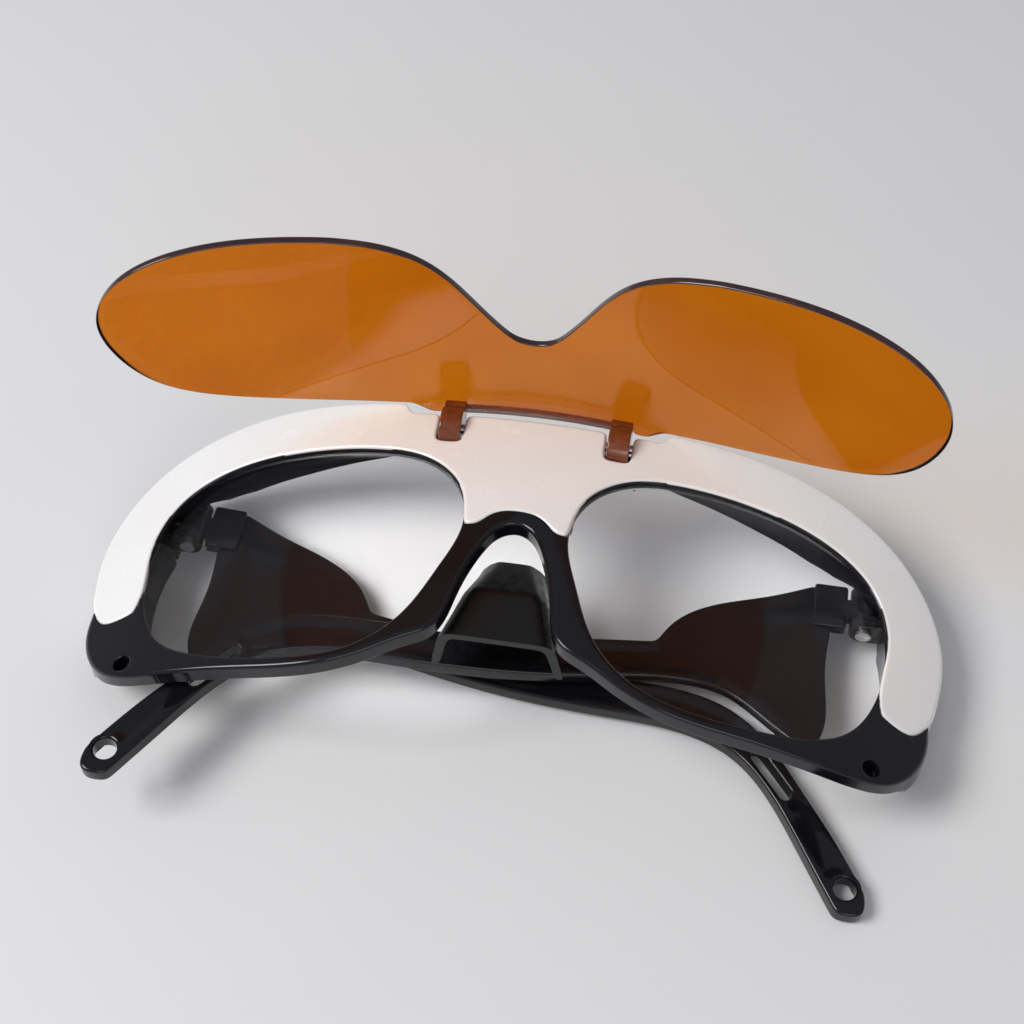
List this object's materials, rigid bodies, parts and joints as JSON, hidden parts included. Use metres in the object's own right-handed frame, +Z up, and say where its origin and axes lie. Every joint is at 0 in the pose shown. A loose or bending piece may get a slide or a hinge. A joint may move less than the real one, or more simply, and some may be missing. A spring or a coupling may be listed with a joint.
{
  "type": "flip-up safety glasses",
  "caption": "Wrap-round glasses with a one-piece tinted lens that flips up on the brow, clear lenses under it and two folding arms with side shields.",
  "frame": {"origin": "centre of the bounding box's bottom: the table under the glasses", "axes": "+X along the frame's width, +Y from the arm tips to the brow, +Z up from the table to the front of the frame"},
  "size_m": [0.155, 0.0798, 0.0852],
  "materials": {
    "frame_black": "gloss",
    "cover_white": "gloss",
    "lens_clear": "clear",
    "lens_amber": "clear amber tint",
    "hook_amber": "gloss, dark amber",
    "saddle_rubber": "satin",
    "pin_steel": "satin"
  },
  "bodies": {
    "frame": {"front_frame": "frame_black", "brow_cover": "cover_white", "lens_left": "lens_clear", "lens_right": "lens_clear", "nose_saddle": "saddle_rubber", "flip_pin": "pin_steel", "frame_hinge_left": "frame_black", "frame_hinge_right": "frame_black", "hinge_screws": "pin_steel"},
    "flip_up_lens": {"flip_lens": "lens_amber", "flip_bar": "hook_amber", "flip_hook_left": "hook_amber", "flip_hook_right": "hook_amber"},
    "left_arm": {"temple_left": "frame_black", "arm_hinge_left": "frame_black"},
    "right_arm": {"temple_right": "frame_black", "arm_hinge_right": "frame_black"}
  },
  "joints": [
    {"name": "lens_flip", "type": "hinge", "parent": "frame", "child": "flip_up_lens", "pos_m": [0, 0.0329, 0.0278], "axis": [-1, 0, 0], "range_deg": [-77, 13]},
    {"name": "left_arm_fold", "type": "hinge", "parent": "frame", "child": "left_arm", "pos_m": [-0.063, 0.0084, 0.0075], "axis": [0, 1, 0], "range_deg": [0, 91]},
    {"name": "right_arm_fold", "type": "hinge", "parent": "frame", "child": "right_arm", "pos_m": [0.063, 0.0084, 0.0075], "axis": [0, -1, 0], "range_deg": [0, 96]}
  ]
}
